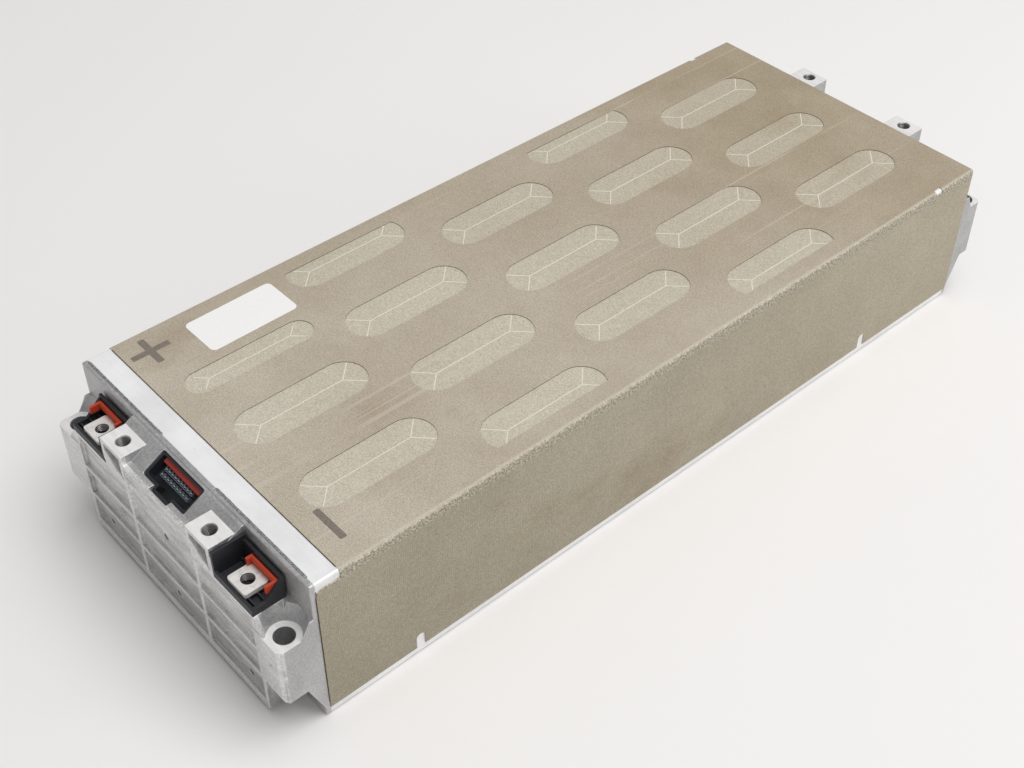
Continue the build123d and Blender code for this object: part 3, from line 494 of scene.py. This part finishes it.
def ridge(mesh, start, end, width, height, base):
    """A fine raised line between two points of the cover."""
    a = Vector((*start, base))
    b = Vector((*end, base))
    side = (b - a).cross(Vector((0, 0, 1))).normalized() * width / 2
    rise = Vector((0, 0, height))
    ring_a = [mesh.verts.new(a + side), mesh.verts.new(a + rise), mesh.verts.new(a - side)]
    ring_b = [mesh.verts.new(b + side), mesh.verts.new(b + rise), mesh.verts.new(b - side)]
    mesh.faces.new(ring_a)
    mesh.faces.new(ring_b[::-1])
    for i in range(3):
        j = (i + 1) % 3
        mesh.faces.new((ring_a[i], ring_b[i], ring_b[j], ring_a[j]))


# ---------------------------------------------------------------- score lines
def vent_places():
    """Middle, half width and cut-off side of each vent field."""
    for row in range(VENT_ROWS):
        y = VENT_MIDDLE_Y + (row - (VENT_ROWS - 1) / 2) * VENT_PITCH_Y
        count = 3 + row % 2
        for column in range(count):
            x = (column - (count - 1) / 2) * VENT_PITCH_X
            cut = 0
            if row % 2 and column in (0, count - 1):
                cut = 1 if x > 0 else -1
            half = VENT_RADIUS
            if row == 0 and column == 0:
                x += NARROW_SHIFT
                half = NARROW_HALF
            yield x, y, half, cut


def score_lines():
    mesh = bmesh.new()
    base = COVER_TOP - VENT_DROP
    width = 0.6 * MM
    height = 0.08 * MM
    for x, y, half, cut in vent_places():
        ridge(mesh, (x, y - VENT_HALF_STRAIGHT), (x, y + VENT_HALF_STRAIGHT), width, height, base)
        for end in (-1, 1):
            for side in (-1, 1):
                reach = half * cos(radians(45)) - 0.4 * MM
                if cut == side:
                    reach = min(reach, VENT_OUTER_REACH - 0.3 * MM)
                start = (x, y + end * VENT_HALF_STRAIGHT)
                ridge(mesh, start, (start[0] + side * reach, start[1] + end * reach), width, height, base)
    return new_piece("vent_score_lines", mesh, SCORE)


score_lines()

# ---------------------------------------------------------------- print and label
PRINT_HEIGHT = 0.03 * MM
PRINT_BOTTOM = COVER_TOP - 0.01 * MM
LABEL_HEIGHT = 0.12 * MM


def printed_mark(name, bars):
    mesh = bmesh.new()
    for center, width, depth in bars:
        outline = rounded(center, width, depth, min(width, depth) * 0.22)
        slab(mesh, outline, PRINT_BOTTOM, COVER_TOP + PRINT_HEIGHT)
    return new_piece(name, mesh, INK)


plus_place = (-93.0 * MM, FRONT_FACE + 34.7 * MM)
ARM = 24.4 * MM
STROKE = 4.4 * MM
SHORT = (ARM - STROKE) / 2
printed_mark("plus_print", [(plus_place, ARM, STROKE)])
mesh = bmesh.new()
for turn in (-1, 1):
    place = (plus_place[0], plus_place[1] + turn * (STROKE + SHORT) / 2)
    outline = rounded(place, STROKE, SHORT + 0.6 * MM, STROKE * 0.2)
    slab(mesh, outline, PRINT_BOTTOM, COVER_TOP + PRINT_HEIGHT * 0.9)
new_piece("plus_print_upright", mesh, INK)
printed_mark("minus_print", [((83.9 * MM, FRONT_FACE + 33.0 * MM), 25.4 * MM, 4.2 * MM)])

mesh = bmesh.new()
label_place = (-84.4 * MM, FRONT_FACE + 91.8 * MM)
outline = rounded(label_place, 31.4 * MM, 60.8 * MM, 3.4 * MM, turn=radians(0.6))
slab(mesh, outline, PRINT_BOTTOM, COVER_TOP + LABEL_HEIGHT)
new_piece("blank_label", mesh, PAPER)


# ---------------------------------------------------------------- painted shadow along the cover's cut edges, partly glue
def box(mesh, x0, x1, y0, y1, z0, z1):
    slab(mesh, [(x0, y0), (x1, y0), (x1, y1), (x0, y1)], z0, z1)


mesh = bmesh.new()
cover_front = FRONT_FACE + 18.5 * MM
flap_front = cover_low.y
box(mesh, -SIDE + 3 * MM, SIDE - 3 * MM, cover_front - 0.35 * MM, cover_front, LID_TOP, COVER_TOP - 0.08 * MM)
for side in (-1, 1):
    x = side * (SIDE + 0.25 * MM)
    box(mesh, x - 0.25 * MM, x + 0.25 * MM, flap_front - 0.35 * MM, flap_front, 12 * MM, LID_TOP - 10 * MM)
new_piece("cover_edge_shadow_and_glue", mesh, EDGE)

# ---------------------------------------------------------------- welds
def weld_bead(mesh, start, end, across, out, width, height):
    """A low rounded bead between two points, with an uneven stippled surface."""
    steps = max(2, int((end - start).length / (0.9 * MM)))
    profile = 5
    rings = []
    for i in range(steps + 1):
        t = i / steps
        place = start.lerp(end, t)
        taper = min(1.0, 6 * min(t, 1 - t) * (end - start).length / width / 2 + 0.25)
        swell = 1 + 0.22 * noise.noise(place * 900)
        ring = []
        for j in range(profile + 1):
            angle = pi * j / profile
            stipple = 1 + 0.35 * noise.noise(place * 2100 + Vector((j, 0, 0)))
            rise = height * taper * sin(angle) * swell * stipple
            reach = cos(angle) * width / 2 * taper * swell
            ring.append(mesh.verts.new(place + across * reach + out * rise))
        rings.append(ring)
    for a, b in zip(rings[:-1], rings[1:]):
        for j in range(profile):
            mesh.faces.new((a[j], b[j], b[j + 1], a[j + 1]))
        mesh.faces.new((a[profile], b[profile], b[0], a[0]))
    mesh.faces.new(rings[0])
    mesh.faces.new(rings[-1][::-1])


up = Vector((0, 0, 1))
along = Vector((0, 1, 0))
mesh = bmesh.new()
seam_y = lid_low.y
for x0, x1 in ((-109.5, -29.5), (23.5, 105.5)):
    start = Vector((x0 * MM, seam_y, LID_TOP))
    end = Vector((x1 * MM, seam_y, LID_TOP))
    weld_bead(mesh, start, end, along, up, 1.7 * MM, 0.22 * MM)
new_piece("lid_weld_front", mesh, WELD, smooth=True)

mesh = bmesh.new()
for y in (wall_low.y, wall_high.y):
    for side in (-1, 1):
        start = Vector((side * SIDE, y, 6 * MM))
        end = Vector((side * SIDE, y, LID_TOP - 5 * MM))
        weld_bead(mesh, start, end, along, Vector((side, 0, 0)), 1.3 * MM, 0.18 * MM)
new_piece("corner_welds", mesh, WELD, smooth=True)


# ---------------------------------------------------------------- threads, with painted shade inside the bores
def thread(mesh, x, y, top, radius, pitch, turns, depth):
    """A helical thread crest on the wall of a tapped hole."""
    steps = 28
    rows = []
    for i in range(int(steps * turns) + 1):
        angle = 2 * pi * i / steps
        z = top - pitch * (i / steps) - 0.6 * MM
        ring = []
        for out, lift in ((radius, 0.42 * pitch), (radius - depth, 0.0), (radius, -0.42 * pitch)):
            ring.append(mesh.verts.new((x + out * cos(angle), y + out * sin(angle), z + lift)))
        rows.append(ring)
    for a, b in zip(rows[:-1], rows[1:]):
        for j in range(3):
            k = (j + 1) % 3
            mesh.faces.new((a[j], b[j], b[k], a[k]))
    mesh.faces.new(rows[0])
    mesh.faces.new(rows[-1][::-1])


def bore_shade_liner(mesh, x, y, top, radius, depth, wall):
    """A dark sleeve on the wall of a bore, under the thread: painted shade inside the bore."""
    steps = 28
    rings = []
    for r, z in ((radius, top), (radius - wall, top), (radius - wall, top - depth), (radius, top - depth)):
        angles = [2 * pi * i / steps for i in range(steps)]
        rings.append([mesh.verts.new((x + r * cos(a), y + r * sin(a), z)) for a in angles])
    for a, b in zip(rings, rings[1:] + rings[:1]):
        for i in range(steps):
            j = (i + 1) % steps
            mesh.faces.new((a[i], a[j], b[j], b[i]))


M8_RADIUS = 4.0 * MM
M8_PITCH = 1.25 * MM
THREAD_DEPTH = 0.55 * MM
BORE_SHADE_WALL = 0.06 * MM
mesh = bmesh.new()
for side in (-1, 1):
    for y, top in (FRONT_POST, REAR_POST):
        bore_shade_liner(mesh, side * POST_X, y, top - 0.6 * MM, M8_RADIUS, 13.3 * MM, BORE_SHADE_WALL)
        thread(mesh, side * POST_X, y, top, M8_RADIUS, M8_PITCH, 8, THREAD_DEPTH)
new_piece("post_threads_and_bore_shade", mesh, THREAD)
mesh = bmesh.new()
for side in (-1, 1):
    bore_shade_liner(mesh, side * TERMINAL_X, TERMINAL[0], TERMINAL[1] - 0.2 * MM, M8_RADIUS, 5.5 * MM, BORE_SHADE_WALL)
    thread(mesh, side * TERMINAL_X, TERMINAL[0], TERMINAL[1], M8_RADIUS, M8_PITCH, 3.5, THREAD_DEPTH)
new_piece("terminal_threads_and_bore_shade", mesh, THREAD)

# ---------------------------------------------------------------- sleeves around the contacts
SLOPE = atan(8.4 / 15.0)
SOCKET = Vector((0, FRONT_FACE - 9.0 * MM, 102.2 * MM))
SLOPE_UP = Vector((0, cos(SLOPE), sin(SLOPE)))
SLOPE_OUT = Vector((0, -sin(SLOPE), cos(SLOPE)))


def slope_box(mesh, u0, u1, v0, v1, n0, n1):
    """A box in the plane of the sloping shelf."""
    corners = []
    for n in (n0, n1):
        for u, v in ((u0, v0), (u1, v0), (u1, v1), (u0, v1)):
            corners.append(mesh.verts.new(SOCKET + Vector((u, 0, 0)) + SLOPE_UP * v + SLOPE_OUT * n))
    for face in ((0, 3, 2, 1), (4, 5, 6, 7), (0, 1, 5, 4), (1, 2, 6, 5), (2, 3, 7, 6), (3, 0, 4, 7)):
        mesh.faces.new([corners[i] for i in face])


CONTACT_COLUMNS = 9
CONTACT_PITCH = 3.0 * MM
ROW_OFFSET = 1.8 * MM
SLEEVE_WALL = 0.35 * MM
SLEEVE_HALF_U = 1.25 * MM
SLEEVE_HALF_V = 1.35 * MM
SLEEVE_DEPTHS = (-8.0 * MM, -3.3 * MM)
mesh = bmesh.new()
for row in (-1, 1):
    v0 = row * ROW_OFFSET - SLEEVE_HALF_V
    v1 = row * ROW_OFFSET + SLEEVE_HALF_V
    for column in range(CONTACT_COLUMNS):
        u = (column - (CONTACT_COLUMNS - 1) / 2) * CONTACT_PITCH
        for turn in (-1, 1):
            edge = u + turn * SLEEVE_HALF_U
            u0, u1 = sorted((edge, edge - turn * SLEEVE_WALL))
            slope_box(mesh, u0, u1, v0, v1, *SLEEVE_DEPTHS)
        inner = SLEEVE_HALF_U - SLEEVE_WALL
        slope_box(mesh, u - inner, u + inner, v0, v0 + SLEEVE_WALL, *SLEEVE_DEPTHS)
new_piece("contact_sleeves", mesh, SLEEVE)

# ---------------------------------------------------------------- ring marks in the casting
RING_STEPS = 36
RING_HALF = 0.3 * MM
BED_DEPTH = 2.0 * MM
mesh = bmesh.new()
for side in (-1, 1):
    center = Vector((side * 53 * MM, BLOCK_FRONT + BED_DEPTH, 41 * MM))
    for radius in (2.4 * MM, 4.2 * MM):
        rings = []
        for i in range(RING_STEPS):
            angle = 2 * pi * i / RING_STEPS
            ray = Vector((cos(angle), 0, sin(angle)))
            profile = (
                center + ray * (radius - RING_HALF),
                center + ray * radius + Vector((0, -RING_HALF, 0)),
                center + ray * (radius + RING_HALF),
            )
            rings.append([mesh.verts.new(point) for point in profile])
        for a, b in zip(rings, rings[1:] + rings[:1]):
            for j in range(3):
                k = (j + 1) % 3
                mesh.faces.new((a[j], b[j], b[k], a[k]))
new_piece("cast_ring_marks", mesh, CAST)


# ---------------------------------------------------------------- stage, light, camera
FLOOR_REACH = 12.0
FLOOR_FADE = (0.9, 3.2)  # distances over which the floor gives way to the backdrop
BACKDROP = 0.84  # what the camera sees behind the floor; it lights nothing


def stage_floor():
    s = Shader("floor", roughness=0.9, specular=0.1)
    s.color(s.mix(s.noise(3, 2, 0.5), (0.905, 0.892, 0.882), (0.925, 0.914, 0.905)))
    away = s.math("ADD", s.math("POWER", s.axis("X"), 2.0), s.math("POWER", s.axis("Y"), 2.0))
    fade = s.add("ShaderNodeMixShader")
    s.link(s.ramp(s.math("SQRT", away), 0.0, 1.0, *FLOOR_FADE), fade.inputs[0])
    s.link(s.surface.outputs[0], fade.inputs[1])
    s.link(s.add("ShaderNodeBsdfTransparent").outputs[0], fade.inputs[2])
    target = next(node for node in s.tree.nodes if node.type == "OUTPUT_MATERIAL")
    s.link(fade.outputs[0], target.inputs["Surface"])
    data = bpy.data.meshes.new("floor")
    corners = [(x * FLOOR_REACH, y * FLOOR_REACH, low.z) for x, y in ((-1, -1), (1, -1), (1, 1), (-1, 1))]
    data.from_pydata(corners, [], [(0, 1, 2, 3)])
    floor = bpy.data.objects.new("floor", data)
    data.materials.append(s.material)
    bpy.context.collection.objects.link(floor)
    floor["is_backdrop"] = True


stage_floor()


def world_light(strength):
    world = bpy.data.worlds.new("studio")
    bpy.context.scene.world = world
    world.use_nodes = True
    background = world.node_tree.nodes["Background"]
    background.inputs["Color"].default_value = (1.0, 0.99, 0.985, 1)
    nodes, links = world.node_tree.nodes, world.node_tree.links
    path = nodes.new("ShaderNodeLightPath")
    seen = nodes.new("ShaderNodeMapRange")
    seen.inputs["To Min"].default_value = strength
    seen.inputs["To Max"].default_value = BACKDROP
    links.new(path.outputs["Is Camera Ray"], seen.inputs["Value"])
    links.new(seen.outputs["Result"], background.inputs["Strength"])


def area_light(name, place, aim, size, power):
    data = bpy.data.lights.new(name, "AREA")
    data.shape = "RECTANGLE"
    data.size, data.size_y = size
    data.energy = power
    lamp = bpy.data.objects.new(name, data)
    lamp.location = place
    lamp.rotation_euler = (Vector(aim) - Vector(place)).to_track_quat("-Z", "Y").to_euler()
    bpy.context.collection.objects.link(lamp)


world_light(0.37)
area_light("key", (0.9, 0.5, 3.1), (0.05, 0.0, 0), (2.6, 2.6), 74)
area_light("side", (1.7, 1.2, 0.8), (0.1, 0.1, 0), (1.2, 0.9), 4)

VIEW_AZIMUTH = radians(48.63)
VIEW_ELEVATION = radians(42.73)
VIEW_DISTANCE = 0.9256
AIM = Vector(((low.x + high.x) / 2 + 22.7 * MM, (low.y + high.y) / 2 - 60.2 * MM, high.z / 2))
SENSOR = 36.0
LENS = 52.586

camera_data = bpy.data.cameras.new("camera")
camera_data.lens = LENS
camera_data.sensor_width = SENSOR
camera_data.clip_end = 50
camera = bpy.data.objects.new("camera", camera_data)
look = Vector(
    (
        -sin(VIEW_AZIMUTH) * cos(VIEW_ELEVATION),
        cos(VIEW_AZIMUTH) * cos(VIEW_ELEVATION),
        -sin(VIEW_ELEVATION),
    )
)
camera.location = AIM - look * VIEW_DISTANCE
camera.rotation_euler = look.to_track_quat("-Z", "Y").to_euler()
bpy.context.collection.objects.link(camera)
bpy.context.scene.camera = camera
bpy.context.scene.view_settings.view_transform = "Standard"
